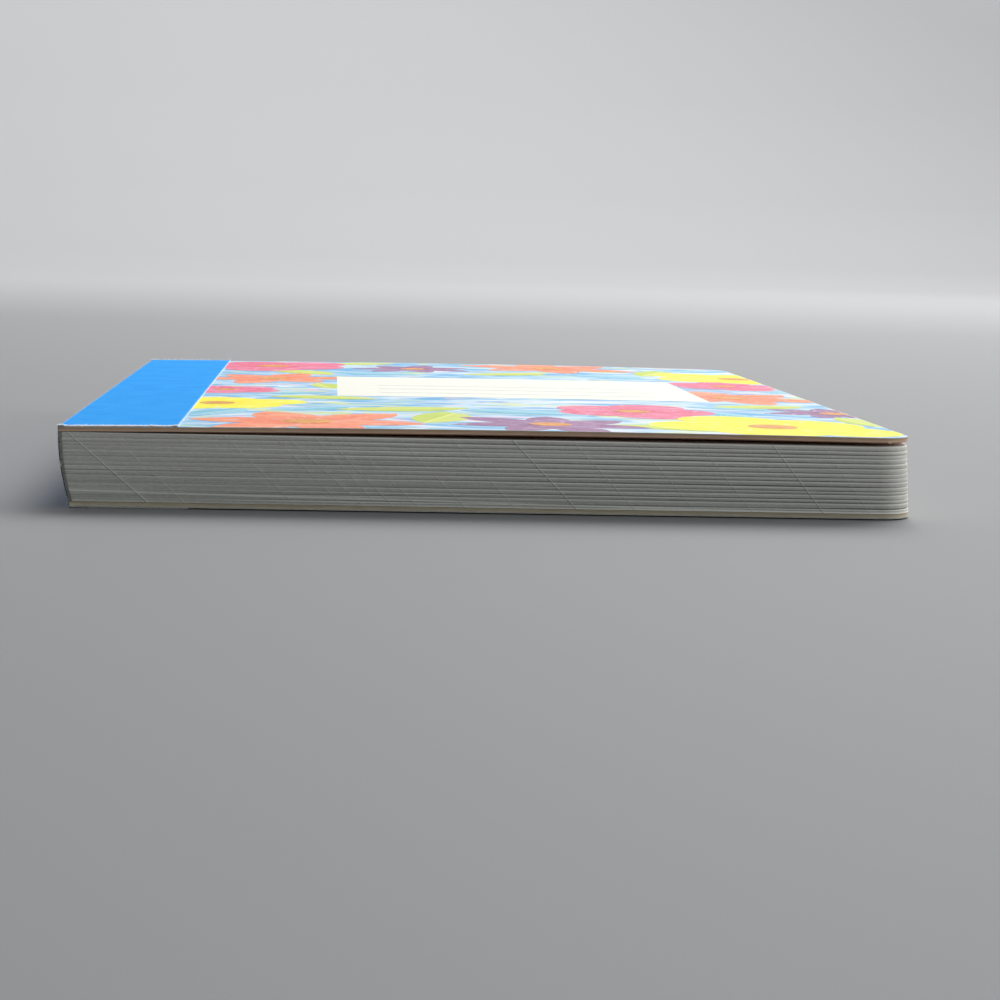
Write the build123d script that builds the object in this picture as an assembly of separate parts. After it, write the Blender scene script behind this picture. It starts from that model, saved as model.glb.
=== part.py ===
"""A pocket composition notebook, closed and lying on its back cover. Sizes are in millimetres.

Z is up, the spine is at -X, the fore-edge is at +X, and the tail edge faces -Y.
The origin is the middle of the notebook's footprint, on the surface that it lies on.

A block of ruled sheets is glued along its spine between two card covers. A sheet of paper is laid on the
outside of each card, printed on the front one, and one strip of tape wraps the spine and laps onto both
covers. Each cover turns on the tape where its inner face meets the block.
"""

from build123d import *
import math
import os

# Covers: the outline of one card, and what is laid on it
cover_width = 82.5
cover_height = 114.3
corner_radius = 3.6
card_thickness = 0.4
paper_thickness = 0.06
ink_thickness = 0.03
tape_thickness = 0.13
tape_lap = 11.2

# Page block: eighty sheets, which lie in small groups that show as lines along the three open edges
sheet_count = 80
sheet_thickness = 0.0825
sheets_in_group = 5
edge_step = 0.11
glue_thickness = 0.25

# How the used notebook has settled: the spine rolls under, and the fore-edge leans the same way
spine_roll = 1.0
spine_bulge = 0.25
fore_lean = 0.4

# The front cover doesn't lie quite shut: it bows up from the spine
fore_lift = 0.35
middle_lift = 0.44

# Running clearances between a cover and the block, and between the two turns of the folded tape
cover_clearance = 0.03
fold_clearance = 0.2

# A coat of ink stands this far off what it is printed on, because the two faces are curved alike
coat_clearance = 0.004

# Print on the front cover
label_width = 43.1
label_height = 35.5
label_rise = 5.2
label_shift = 1.1
rule_width = 0.45
rule_spacing = 6.4
rule_margin = 5.0
rule_count = 3
round_notch = 0.76
pointed_notch = 0.5
petal_fullness = 0.12
petal_wander = 0.1
heart_share = 0.2
leaf_fullness = 0.26
leaf_slimness = 0.14

# Where the pieces lie
block_thickness = sheet_count * sheet_thickness
overall_width = tape_thickness + cover_width + fore_lean
half_height = cover_height / 2
front_spine_x = -overall_width / 2 + tape_thickness
front_fore_x = front_spine_x + cover_width
back_spine_x = front_spine_x + spine_roll
back_fore_x = front_fore_x + fore_lean
back_paper_z = tape_thickness
back_card_z = back_paper_z + paper_thickness
block_bottom_z = back_card_z + card_thickness + cover_clearance
block_top_z = block_bottom_z + block_thickness
front_card_z = block_top_z + cover_clearance
front_paper_z = front_card_z + card_thickness
front_tape_z = front_paper_z + paper_thickness
front_ink_z = front_tape_z + coat_clearance
front_tape_edge_x = front_spine_x + tape_lap
print_left_x = front_tape_edge_x
print_width = front_fore_x - print_left_x
label_x = print_left_x + print_width / 2 + label_shift

# Tool bodies reach this far past what they cut
reach = 5.0


def outline(spine_x, fore_x):
    """A cover's plan: square at the spine, with both fore-edge corners rounded."""
    plan = Pos((spine_x + fore_x) / 2, 0) * Rectangle(fore_x - spine_x, cover_height)
    return fillet(plan.vertices().group_by(Axis.X)[-1], corner_radius)


def flat_layer(z, thickness):
    """A sheet of the back cover, which lies flat."""
    return Pos(0, 0, z) * extrude(outline(back_spine_x, back_fore_x), thickness)


def bow_arc(z):
    """The front cover's bow in side view, from the spine over the middle to the fore-edge."""
    middle_x = (front_spine_x + front_fore_x) / 2
    return ThreePointArc(
        (front_spine_x, z),
        (middle_x, z + middle_lift),
        (front_fore_x, z + fore_lift),
    )


def bowed_layer(z, thickness):
    """A sheet of the front cover, which follows the bow."""
    low, high = bow_arc(z), bow_arc(z + thickness)
    side = make_face([low, high, Line(low @ 0, high @ 0), Line(low @ 1, high @ 1)])
    strip = extrude(Plane.XZ * side, half_height, both=True)
    column = Pos(0, 0, z - reach) * extrude(outline(front_spine_x, front_fore_x), thickness + 2 * reach)
    return strip & column


def spine_arc(offset):
    """The rolled spine in side view, moved inwards by an offset: upright at the top, tucked in below."""
    top = (front_spine_x + offset, block_top_z)
    bottom = (back_spine_x + offset, block_bottom_z)
    middle_x = (top[0] + bottom[0]) / 2 - spine_bulge
    return ThreePointArc(bottom, (middle_x, (block_bottom_z + block_top_z) / 2), top)


def spine_strip(outer_offset, inner_offset):
    """A layer along the spine, between two offsets of the rolled spine."""
    outer, inner = spine_arc(outer_offset), spine_arc(inner_offset)
    side = make_face([outer, inner, Line(outer @ 0, inner @ 0), Line(outer @ 1, inner @ 1)])
    return extrude(Plane.XZ * side, half_height, both=True)


def leaf_body(setback):
    """The whole block with its three open edges set back, as wide as one group of sheets is cut."""
    spine = spine_arc(glue_thickness)
    fore_top = (front_fore_x - setback, block_top_z)
    fore_bottom = (back_fore_x - setback, block_bottom_z)
    side = make_face(
        [spine, Line(spine @ 1, fore_top), Line(fore_top, fore_bottom), Line(fore_bottom, spine @ 0)]
    )
    body = extrude(Plane.XZ * side, half_height - setback, both=True)
    end_edges = body.edges().filter_by(lambda e: abs(e.center().Y) > half_height - setback - edge_step)
    return fillet(end_edges.sort_by(Axis.X)[-2:], corner_radius - setback)


def page_block():
    """All the sheets as one solid: each small group of them is trimmed a hair further in or out."""
    group_thickness = sheets_in_group * sheet_thickness
    group_count = math.ceil(sheet_count / sheets_in_group)
    block = None
    for group in range(group_count):
        wander = 0.5 + 0.35 * math.sin(2.3 * group) + 0.15 * math.cos(5.1 * group)
        low = block_bottom_z + group * group_thickness
        thickness = min(group_thickness, block_top_z - low)
        band = Pos(0, 0, low + thickness / 2) * Box(2 * cover_width, 2 * cover_height, thickness)
        leaves = leaf_body(edge_step * wander) & band
        block = leaves if block is None else block + leaves
    return block


def front_tape():
    """The lap on the front cover, with the leg that covers the card's spine edge."""
    lap_box = Pos(front_spine_x + tape_lap / 2, 0, front_tape_z) * Box(
        tape_lap, cover_height, 2 * (tape_thickness + reach)
    )
    lap = bowed_layer(front_tape_z, tape_thickness) & lap_box
    leg_height = front_tape_z + tape_thickness - front_card_z
    leg = Pos(front_spine_x - tape_thickness / 2, 0, front_card_z + leg_height / 2) * Box(
        tape_thickness, cover_height, leg_height
    )
    return lap + leg


def back_tape():
    """The lap under the back cover, with the leg that covers the card's spine edge."""
    lap = Pos(back_spine_x + tape_lap / 2, 0, tape_thickness / 2) * Box(tape_lap, cover_height, tape_thickness)
    leg_height = back_card_z + card_thickness
    leg = Pos(back_spine_x - tape_thickness / 2, 0, leg_height / 2) * Box(
        tape_thickness, cover_height, leg_height
    )
    return lap + leg


def on_print(across, up):
    """A place on the printed panel, as shares of its width from the tape and its height from the tail."""
    return (print_left_x + across * print_width, -half_height + up * cover_height)


def spot(centre, distance, angle):
    """A place at a distance and an angle in degrees from a flower's middle."""
    return (
        centre[0] + distance * math.cos(math.radians(angle)),
        centre[1] + distance * math.sin(math.radians(angle)),
    )


def bulged(start, end, share):
    """An arc between two places that stands out to its right by a share of its own length."""
    along = (end[0] - start[0], end[1] - start[1])
    middle = (
        (start[0] + end[0]) / 2 + share * along[1],
        (start[1] + end[1]) / 2 - share * along[0],
    )
    return ThreePointArc(start, middle, end)


def blossom(place, petals, petal_notch, petal_fullness=None):
    """A flower's outline. Its petals are one round arc each, or two arcs that meet at a tip, and differ in length."""
    across, up, radius, turn = place
    centre = on_print(across, up)
    petal_angle = 360 / petals
    notches = [spot(centre, petal_notch * radius, turn + k * petal_angle) for k in range(petals)]
    arcs = []
    for k in range(petals):
        length = radius * (1 + petal_wander * math.sin(2.1 * k + turn))
        tip = spot(centre, length, turn + (k + 0.5) * petal_angle)
        following = notches[(k + 1) % petals]
        if petal_fullness is None:
            arcs.append(ThreePointArc(notches[k], tip, following))
        else:
            arcs += [bulged(notches[k], tip, petal_fullness), bulged(tip, following, petal_fullness)]
    return make_face(arcs)


def heart(place):
    """The round middle of a flower."""
    across, up, radius, turn = place
    return Pos(*on_print(across, up)) * Circle(heart_share * radius)


def leaf(place):
    """A pointed leaf between two arcs, one fuller than the other."""
    across, up, length, turn = place
    centre = on_print(across, up)
    base, tip = spot(centre, -length / 2, turn), spot(centre, length / 2, turn)
    return make_face([bulged(base, tip, leaf_fullness), bulged(tip, base, leaf_slimness)])


# Flowers: share across, share up, radius, turn in degrees
round_flowers = {
    "yellow": [(0.83, 0.09, 12.5, 5), (0.03, 0.28, 9.5, 55), (0.97, 0.80, 11.5, 30)],
    "pink": [(0.66, 0.24, 9.5, 33), (0.09, 0.90, 11.5, 80), (0.03, 0.47, 7.0, 10), (0.91, 0.655, 8.0, 45)],
}
pointed_flowers = {
    "coral": [(0.17, 0.07, 13.0, 20), (0.87, 0.46, 11.5, 75), (0.10, 0.66, 10.5, 40), (0.63, 0.93, 12.0, 10)],
    "plum": [(0.51, 0.07, 10.5, 62), (0.98, 0.27, 8.0, 15), (0.36, 0.87, 8.5, 0)],
}
petal_count = {"yellow": 5, "pink": 5, "coral": 6, "plum": 7}
# Leaves: share across, share up, length, turn in degrees
leaves = {
    "lime": [
        (0.35, 0.13, 15, 80), (0.31, 0.23, 15, 15), (0.67, 0.05, 13, 155), (0.98, 0.17, 12, 100),
        (0.19, 0.36, 13, 165), (0.88, 0.34, 12, 20), (0.14, 0.78, 14, 130), (0.53, 0.80, 13, 25),
        (0.82, 0.87, 14, 75), (0.25, 0.97, 12, 15), (0.19, 0.54, 10, 100),
    ],
    "aqua": [
        (0.49, 0.20, 14, 165), (0.80, 0.21, 10, 110), (0.03, 0.17, 12, 60), (0.17, 0.22, 11, 35),
        (0.97, 0.575, 10, 140), (0.29, 0.76, 12, 170), (0.72, 0.78, 13, 150), (0.48, 0.98, 11, 85),
        (0.14, 0.43, 9, 20), (0.92, 0.94, 12, 15), (0.82, 0.30, 9, 165),
    ],
}


def label_plan():
    """The writing panel, near the middle of the print and a little above the middle of the cover."""
    return Pos(label_x, label_rise) * Rectangle(label_width, label_height)


def label_rules():
    """Plain writing rules in the lower part of the label."""
    lowest_y = label_rise - label_height / 2 + rule_spacing
    return joined(
        Pos(label_x, lowest_y + k * rule_spacing) * Rectangle(label_width - 2 * rule_margin, rule_width)
        for k in range(rule_count)
    )


def joined(shapes):
    """Several flat shapes as one sketch."""
    result = Sketch()
    for shape in shapes:
        result += shape
    return result


def first_coat_plans():
    """The label, flowers and leaves in plan, cut so that no two share a place: what is listed first is on top."""
    stack = {"label": label_plan()}
    for colour, places in round_flowers.items():
        stack[colour + "_blossoms"] = joined(blossom(place, petal_count[colour], round_notch) for place in places)
    for colour, places in pointed_flowers.items():
        stack[colour + "_blossoms"] = joined(
            blossom(place, petal_count[colour], pointed_notch, petal_fullness) for place in places
        )
    for colour, places in leaves.items():
        stack[colour + "_leaves"] = joined(leaf(place) for place in places)
    plans, covered = {}, Sketch()
    for name, plan in stack.items():
        plans[name] = plan - covered
        covered += plan
    return plans


def second_coat_plans():
    """What is printed over the first coat: the hearts of the flowers, clear of the label, and the label's rules."""
    flowers = [place for places in (round_flowers | pointed_flowers).values() for place in places]
    return {"blossom_hearts": joined(heart(place) for place in flowers) - label_plan(), "label_rules": label_rules()}


def coat(level):
    """A whole coat of ink on the front paper, from the tape's edge to the fore-edge."""
    z = front_ink_z + level * (ink_thickness + coat_clearance)
    beside_tape = Pos(front_tape_edge_x + cover_width / 2, 0, z) * Box(cover_width, 2 * cover_height, 2 * reach)
    return bowed_layer(z, ink_thickness) & beside_tape


def print_fields():
    """The fields of colour, as two thin coats of ink, one over the other."""
    fields = {}
    for level, plans in enumerate((first_coat_plans(), second_coat_plans())):
        ink = coat(level)
        for name, plan in plans.items():
            fields[name] = ink & Pos(0, 0, front_ink_z - reach) * extrude(plan, 2 * reach)
    return fields


def build():
    """Every piece of the notebook under the name of its file."""
    pieces = {
        "page_block": page_block(),
        "spine_glue": spine_strip(0, glue_thickness),
        "spine_tape": spine_strip(-tape_thickness, 0),
        "front_card": bowed_layer(front_card_z, card_thickness),
        "front_paper": bowed_layer(front_paper_z, paper_thickness),
        "front_tape": front_tape(),
        "back_card": flat_layer(back_card_z, card_thickness),
        "back_paper": flat_layer(back_paper_z, paper_thickness),
        "back_tape": back_tape(),
    }
    pieces.update(print_fields())
    return pieces


os.makedirs("parts", exist_ok=True)
for name, piece in build().items():
    export_step(piece, f"parts/{name}.step")
print("front hinge", (front_spine_x - tape_thickness - fold_clearance, 0, front_card_z))
print("back hinge", (back_spine_x - tape_thickness - fold_clearance, 0, block_bottom_z - cover_clearance))
print("overall width", overall_width)
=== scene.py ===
# %% [markdown]
# A pocket composition notebook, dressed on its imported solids
#
# The notebook is a block of cut sheets between two card covers, with one strip of book cloth round the
# spine. The solids give every size and place. This lesson adds what a camera sees on them: sheets that
# don't quite line up, board that shows its fibres, cloth with a weave and a frayed end, and a print with
# petals and veins.
#
# Everything is in metres, in the solids' own frame. +X runs from the spine to the fore-edge, +Y from the
# tail edge to the head edge, and +Z up out of the front cover.

# %% Load the frame
import bmesh
import bpy
import math
import random
from mathutils import Matrix, Vector, noise
from mathutils.bvhtree import BVHTree


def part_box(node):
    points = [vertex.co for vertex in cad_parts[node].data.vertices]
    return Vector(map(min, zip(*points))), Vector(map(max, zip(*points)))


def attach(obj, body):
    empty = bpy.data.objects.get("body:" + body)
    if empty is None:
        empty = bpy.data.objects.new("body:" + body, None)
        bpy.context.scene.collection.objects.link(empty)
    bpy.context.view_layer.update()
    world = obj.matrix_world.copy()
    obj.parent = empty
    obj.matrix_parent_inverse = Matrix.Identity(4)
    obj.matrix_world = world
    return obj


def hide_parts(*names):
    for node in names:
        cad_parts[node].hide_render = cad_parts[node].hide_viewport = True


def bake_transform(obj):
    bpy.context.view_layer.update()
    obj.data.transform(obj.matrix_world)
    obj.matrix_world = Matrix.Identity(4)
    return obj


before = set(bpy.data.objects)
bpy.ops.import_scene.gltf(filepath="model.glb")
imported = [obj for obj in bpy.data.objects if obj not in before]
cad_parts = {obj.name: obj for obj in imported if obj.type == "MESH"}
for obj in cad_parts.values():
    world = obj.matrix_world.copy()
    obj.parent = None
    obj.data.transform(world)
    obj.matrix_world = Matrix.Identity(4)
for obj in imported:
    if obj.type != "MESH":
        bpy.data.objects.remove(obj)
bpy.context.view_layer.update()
random.seed(7)
mm = 0.001

# %% [markdown]
# Sizes that every piece shares
#
# A box round a solid gives its outside, and the difference between two boxes gives a thickness. So the
# sizes here follow the solids, and only the round of the corners and a hair's inset are given.

# %% Read the sizes from the solids
block_low, block_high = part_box("page_block")
card_low, card_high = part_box("front_card")
tape_low, tape_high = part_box("front_tape")
spine_low, spine_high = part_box("spine_tape")
back_card_low, back_card_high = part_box("back_card")
back_paper_low, back_paper_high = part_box("back_paper")
back_tape_low, back_tape_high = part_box("back_tape")
half_height = card_high.y
cover_width = card_high.x - card_low.x
tape_thickness = card_low.x - tape_low.x
paper_thickness = back_paper_high.z - back_paper_low.z
card_thickness = back_card_high.z - back_card_low.z
corner_radius = 3.6 * mm
edge_inset = 0.01 * mm
print("cover in mm", round(cover_width / mm, 2), "by", round(2 * half_height / mm, 2))

# %% [markdown]
# The front cover is bowed, so its height is read by dropping a ray onto the solid at three places. One
# curve through them gives the height anywhere between.


# %% Read the bow of the front cover
def tree_of(node):
    """A search tree over a solid's faces."""
    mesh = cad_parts[node].data
    return BVHTree.FromPolygons([v.co for v in mesh.vertices], [p.vertices for p in mesh.polygons])


def height_of(node, x):
    """The height of the top of a solid at x, half way along the spine."""
    return tree_of(node).ray_cast(Vector((x, 0, 1.0)), Vector((0, 0, -1)))[0].z


middle_x = (card_low.x + card_high.x) / 2
spine_top = height_of("front_paper", card_low.x + edge_inset)
middle_rise = height_of("front_paper", middle_x) - spine_top
fore_rise = height_of("front_paper", card_high.x - edge_inset) - spine_top
ink_thickness = height_of("label", middle_x) - height_of("front_paper", middle_x)


def bow(x):
    """How far the front cover has risen at x, on a smooth curve from the spine to the fore-edge."""
    share = min(1.0, max(0.0, (x - card_low.x) / cover_width))
    return 4 * middle_rise * share * (1 - share) + fore_rise * share * (2 * share - 1)


print("rise in mm at the middle and the fore-edge", round(middle_rise / mm, 3), round(fore_rise / mm, 3))
print("ink", round(ink_thickness / mm, 3), "mm thick")

# %% [markdown]
# The camera comes first
#
# The photograph looks low over the tail edge, from a little left of the middle. Its place, turn and lens
# come from a fit of the notebook's corners. It is turned right by the yaw, down by the pitch, and rolled so
# that level lines run down to the right.

# %% Set the camera
camera_place = Vector((-15.74, -280.0, 26.70)) * mm
camera_yaw, camera_pitch, camera_roll = (math.radians(a) for a in (4.219, 6.460, 1.420))
camera_lens = 83.96

camera_data = bpy.data.cameras.new("photo_camera")
camera_data.lens = camera_lens
camera_data.sensor_width = 36.0
camera_data.clip_start = 0.01
camera = bpy.data.objects.new("photo_camera", camera_data)
bpy.context.scene.collection.objects.link(camera)
camera_turn = (
    Matrix.Rotation(-camera_yaw, 4, "Z")
    @ Matrix.Rotation(math.pi / 2 - camera_pitch, 4, "X")
    @ Matrix.Rotation(camera_roll, 4, "Z")
)
camera.matrix_world = Matrix.Translation(camera_place) @ camera_turn
bpy.context.scene.camera = camera
bpy.context.scene.view_settings.view_transform = "Standard"
print("camera at", [round(c / mm, 1) for c in camera_place], "mm")

# %% [markdown]
# Helpers for finishes
#
# A finish is a small tree of nodes. One helper starts a finish on the plain shader, and one adds a node and
# wires what it is given: a value goes onto the socket, and another node's output becomes a link.


# %% Start a finish, and add nodes to it
def new_finish(name, roughness, specular=0.5):
    """A material, its node tree and its shader."""
    material = bpy.data.materials.new(name)
    material.use_nodes = True
    shader = material.node_tree.nodes["Principled BSDF"]
    shader.inputs["Roughness"].default_value = roughness
    shader.inputs["Specular IOR Level"].default_value = specular
    return material, material.node_tree, shader


def srgb(red, green, blue):
    """A colour read from a picture, 0 to 255, as the shader needs it."""
    return tuple(
        ((c / 255 + 0.055) / 1.055) ** 2.4 if c > 10 else c / 255 / 12.92 for c in (red, green, blue)
    )


def set_socket(tree, socket, value):
    """Gives a socket a link, a picture's colour or a plain value."""
    if isinstance(value, bpy.types.NodeSocket):
        tree.links.new(value, socket)
    elif socket.type == "RGBA":
        socket.default_value = (*srgb(*value), 1.0)
    else:
        socket.default_value = value


def add(tree, kind, sockets=None, **settings):
    """A new node with its settings, and its sockets set or linked."""
    made = tree.nodes.new("ShaderNode" + kind)
    for name, value in settings.items():
        setattr(made, name, value)
    for socket, value in (sockets or {}).items():
        set_socket(tree, made.inputs[socket], value)
    return made


print("a mid grey reads", round(srgb(128, 128, 128)[0], 3))

# %% [markdown]
# Patterns are read on the object's own place, in millimetres. Soft noise that is cut off at a low and a
# high level becomes patches, and its stretch makes them fibres, clouds, specks or brush strokes.


# %% Read patterns on the object
def place_in_mm(tree, stretch=(1, 1, 1)):
    """The place on the object in millimetres, stretched along each axis."""
    place = add(tree, "TexCoord").outputs["Object"]
    return add(tree, "Mapping", {"Vector": place, "Scale": [s / mm for s in stretch]}).outputs["Vector"]


def noise_at(tree, place, detail=3.0, scale=1.0, swirl=0.0):
    """Soft noise read at a place, from 0 to 1. A swirl bends it into strokes."""
    sockets = {"Vector": place, "Scale": scale, "Detail": detail, "Roughness": 0.55, "Distortion": swirl}
    return add(tree, "TexNoise", sockets).outputs["Fac"]


def grain(tree, stretch, detail=3.0, swirl=0.0):
    """Soft noise over the object, in steps of a millimetre divided by the stretch."""
    return noise_at(tree, place_in_mm(tree, stretch), detail, swirl=swirl)


def share_of(tree, value, low, high):
    """Where a value lies between two others, kept from 0 to 1. The two may run downwards."""
    return add(tree, "MapRange", {"Value": value, "From Min": low, "From Max": high}).outputs["Result"]


def patches(tree, stretch, low, high, detail=3.0, swirl=0.0):
    """Soft noise over the object, cut off below a low level and above a high one."""
    return share_of(tree, grain(tree, stretch, detail, swirl), low, high)


print("patterns have", round(1 / mm), "steps to the metre")

# %% [markdown]
# The other helpers each take one step: they mix or give a colour, work out a value, read what the mesh
# carries, or raise a relief.


# %% Mix, work out and raise
def mixed(tree, factor, first, second):
    """One colour mixed with another."""
    return add(tree, "MixRGB", {"Fac": factor, "Color1": first, "Color2": second}).outputs["Color"]


def paint(tree, shader, colour):
    """Gives the shader its colour."""
    tree.links.new(colour, shader.inputs["Base Color"])


def calc(tree, operation, first, second=0.0, third=0.0, clamp=False):
    """One step of arithmetic."""
    sockets = {0: first, 1: second, 2: third}
    return add(tree, "Math", sockets, operation=operation, use_clamp=clamp).outputs[0]


def times(tree, first, second):
    """One value multiplied by another."""
    return calc(tree, "MULTIPLY", first, second)


def split(tree, vector):
    """The three parts of a vector."""
    outputs = add(tree, "SeparateXYZ", {"Vector": vector}).outputs
    return outputs["X"], outputs["Y"], outputs["Z"]


def attribute(tree, name):
    """A value or vector that the mesh carries at its points."""
    return add(tree, "Attribute", attribute_name=name).outputs


def bump(tree, shader, height, distance, strength=1.0, after=None):
    """A relief on the shader, whose height runs from 0 to 1 over a distance in metres."""
    sockets = {"Height": height, "Distance": distance, "Strength": strength}
    if after is not None:
        sockets["Normal"] = after
    made = add(tree, "Bump", sockets).outputs["Normal"]
    tree.links.new(made, shader.inputs["Normal"])
    return made


print("finishes made so far", len(bpy.data.materials))

# %% [markdown]
# Helpers for pieces
#
# A piece is made in a bmesh and becomes an object at the origin, so its place is in its own mesh. Then it
# rides on a body and stands for the solids that it dresses.


# %% Turn a bmesh into a piece
def make_piece(bm, name, materials, smooth_angle=35.0):
    """A finished object from a bmesh. Edges sharper than the angle stay crisp."""
    mesh = bpy.data.meshes.new(name)
    bm.to_mesh(mesh)
    bm.free()
    for material in materials:
        mesh.materials.append(material)
    mesh.shade_smooth()
    mesh.set_sharp_from_angle(angle=math.radians(smooth_angle))
    piece = bpy.data.objects.new(name, mesh)
    bpy.context.scene.collection.objects.link(piece)
    print(name, "faces", len(mesh.polygons))
    return piece


def dress(piece, body, slot, *nodes):
    """The piece rides on a body and stands for nodes. Its slot is not used."""
    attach(piece, body)
    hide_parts(*nodes)


# %% [markdown]
# The outline of a cover
#
# A cover is cut square at the spine and rounded at both fore-edge corners. A one-face grid gives the
# rectangle, and a bevel on two of its corners gives the round. Cuts across its face let the flat sheet take
# the bow afterwards. The alternative, a curve filled with faces, gives triangles that don't bend well.


# %% Cut a flat sheet with two rounded corners
def cut_sheet(x_low, x_high, z):
    """A flat sheet at a height, one face, with its fore-edge corners rounded."""
    bm = bmesh.new()
    bmesh.ops.create_grid(bm, x_segments=1, y_segments=1, size=0.5)
    bmesh.ops.scale(bm, vec=(x_high - x_low, 2 * half_height, 1), verts=bm.verts[:])
    bmesh.ops.translate(bm, vec=((x_low + x_high) / 2, 0, z), verts=bm.verts[:])
    corners = [v for v in bm.verts if v.co.x > (x_low + x_high) / 2]
    bmesh.ops.bevel(
        bm, geom=corners, offset=corner_radius, offset_type="OFFSET", segments=12,
        profile=0.5, affect="VERTICES", material=-1,
    )
    return bm


def cut_across(bm, spacing, axis):
    """Cuts through all faces at an even spacing along an axis."""
    low = min(v.co[axis] for v in bm.verts)
    high = max(v.co[axis] for v in bm.verts)
    count = max(1, round((high - low) / spacing))
    normal = [0, 0, 0]
    normal[axis] = 1
    for k in range(1, count):
        point = [0, 0, 0]
        point[axis] = low + (high - low) * k / count
        everything = bm.verts[:] + bm.edges[:] + bm.faces[:]
        bmesh.ops.bisect_plane(bm, geom=everything, plane_co=point, plane_no=normal, dist=1e-7)


def thicken(bm, depth):
    """Gives a sheet a wall below itself, with the sides closed."""
    made = bmesh.ops.extrude_face_region(bm, geom=bm.faces[:])
    lower = [v for v in made["geom"] if isinstance(v, bmesh.types.BMVert)]
    bmesh.ops.translate(bm, vec=(0, 0, -depth), verts=lower)
    bmesh.ops.recalc_face_normals(bm, faces=bm.faces[:])


def set_sides(bm, index):
    """Gives the upright faces another finish than the top and bottom."""
    bm.normal_update()
    for face in bm.faces:
        if abs(face.normal.z) < 0.6:
            face.material_index = index


bow_spacing = 2.5 * mm
trial = cut_sheet(0, cover_width, 0)
print("corners of the outline", len(trial.verts), "faces", len(trial.faces))
trial.free()

# %% [markdown]
# The finish of the cut sheets
#
# Eighty sheets cut by one knife make a nearly smooth grey face. Each sheet's edge is a little lighter or
# darker than the next. The creases between them are painted dark as shade, and the lips light as
# highlights. The mesh carries that tint, row by row, and the shader only turns it into a colour. Where the
# knife had a nick, the mesh carries a painted highlight beside a line of painted shade.

# %% Make the finish of the cut edges
cut_edges, tree, shader = new_finish("cut_edges", 0.85, specular=0.2)
row_tone_and_painted_light = attribute(tree, "row_tone_and_painted_light")["Fac"]
tooth = grain(tree, (2.5, 2.5, 9), detail=4.0)
level = calc(tree, "MULTIPLY_ADD", calc(tree, "SUBTRACT", tooth, 0.5), 0.35, row_tone_and_painted_light, clamp=True)
# The tint runs from dark grey to near white: each sheet's tone, painted highlights on the lips and painted
# shade in the creases
tint = mixed(tree, level, (84, 82, 74), (255, 255, 245))
smudge = patches(tree, (0.12, 0.12, 0.3), 0.35, 0.7, detail=4.0)
tint = mixed(tree, times(tree, smudge, 0.2), tint, (206, 204, 196))
# The nick lines: a painted highlight on the ridge and painted shade beside it
nick_highlight_and_shade = attribute(tree, "nick")["Fac"]
tint = mixed(tree, share_of(tree, nick_highlight_and_shade, 0.0, -1.0), tint, (84, 82, 76))
tint = mixed(tree, share_of(tree, nick_highlight_and_shade, 0.0, 1.0), tint, (254, 254, 252))
paint(tree, shader, tint)
bump(tree, shader, tooth, 0.02 * mm, 0.6)
print("made", cut_edges.name)

# %% [markdown]
# The finish of a sheet's face
#
# The first and last sheets show when a cover opens. They are smooth writing paper with pale blue rules.

# %% Make the finish of the ruled sheets
rule_pitch = 7.1
rule_width = 0.2
head_margin = 1.6 * rule_pitch
ruled_sheet, tree, shader = new_finish("ruled_sheet", 0.75, specular=0.3)
mottle = grain(tree, (0.6, 0.6, 0.6), detail=5.0)
base = mixed(tree, share_of(tree, mottle, 0.3, 0.7), (236, 236, 230), (244, 244, 239))
_, y, _ = split(tree, place_in_mm(tree))
rule = calc(tree, "LESS_THAN", calc(tree, "PINGPONG", y, rule_pitch / 2), rule_width / 2)
below_head = calc(tree, "LESS_THAN", y, half_height / mm - head_margin)
rule = times(tree, rule, times(tree, below_head, 0.6))
paint(tree, shader, mixed(tree, rule, base, (120, 165, 215)))
bump(tree, shader, grain(tree, (8, 8, 8), detail=4.0), 0.01 * mm, 0.5)
print("rules every", rule_pitch, "mm")

# %% [markdown]
# The block of sheets
#
# The block could be one box with lines painted on it. Its edges catch the light, so here every sheet is
# modelled: the outline is extruded upwards row by row, three rows a sheet, and each row is set back a
# little more or less. The sheets lie in small groups of uneven size. The top sheet of a group stands out,
# and its lip is painted light as a highlight; a crease painted dark as shade parts it from the group above.
# The groups fan out more towards the fore-edge. A layer on the points keeps the flat outline, so the
# setbacks don't add up.

# %% Settle how the sheets lie
sheet_count = 80
group_step = 0.1 * mm
group_bulge = 0.13 * mm
group_lip = 0.84
group_foot = 0.08
sheet_crease = 0.012 * mm
sheet_wander = 0.03 * mm
wave_depth = 0.03 * mm
row_wave = 0.05 * mm
corner_press = 0.8
# A stray leaf stands out as a line, painted light as a highlight, that sinks away from the spine
stray_start, stray_fall, stray_width, stray_reach = 1.05 * mm, 1.25 * mm, 0.09 * mm, 0.05 * mm
sheet_thickness = (block_high.z - block_low.z) / sheet_count
sheet_luck = [random.uniform(0, 1) for _ in range(sheet_count)]
group_sizes = (4, 5, 6, 6, 7)
group_starts = [0]
while group_starts[-1] < sheet_count:
    group_starts.append(group_starts[-1] + random.choice(group_sizes))
print("sheets", sheet_count, "of", round(sheet_thickness / mm, 4), "mm, in groups", len(group_starts) - 1)

# %% [markdown]
# The block isn't upright at its long sides. The spine is rolled, so the start of a sheet is read by a ray
# onto the solid. The fore-edge leans from the back cover's edge out to the front cover's.

# %% Find both ends of a sheet
plan_low, plan_high = block_low.x, back_card_high.x
block_tree = tree_of("page_block")


def block_spine(z):
    """Where the sheets start at a height, on the rolled spine."""
    z = min(max(z, block_low.z + edge_inset), block_high.z - edge_inset)
    return block_tree.ray_cast(Vector((-0.2, 0, z)), Vector((1, 0, 0)))[0].x


def block_fore(z):
    """Where the sheets end at a height, on the leaning fore-edge."""
    share = (z - block_low.z) / (block_high.z - block_low.z)
    return back_card_high.x + (card_high.x - back_card_high.x) * share


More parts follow.
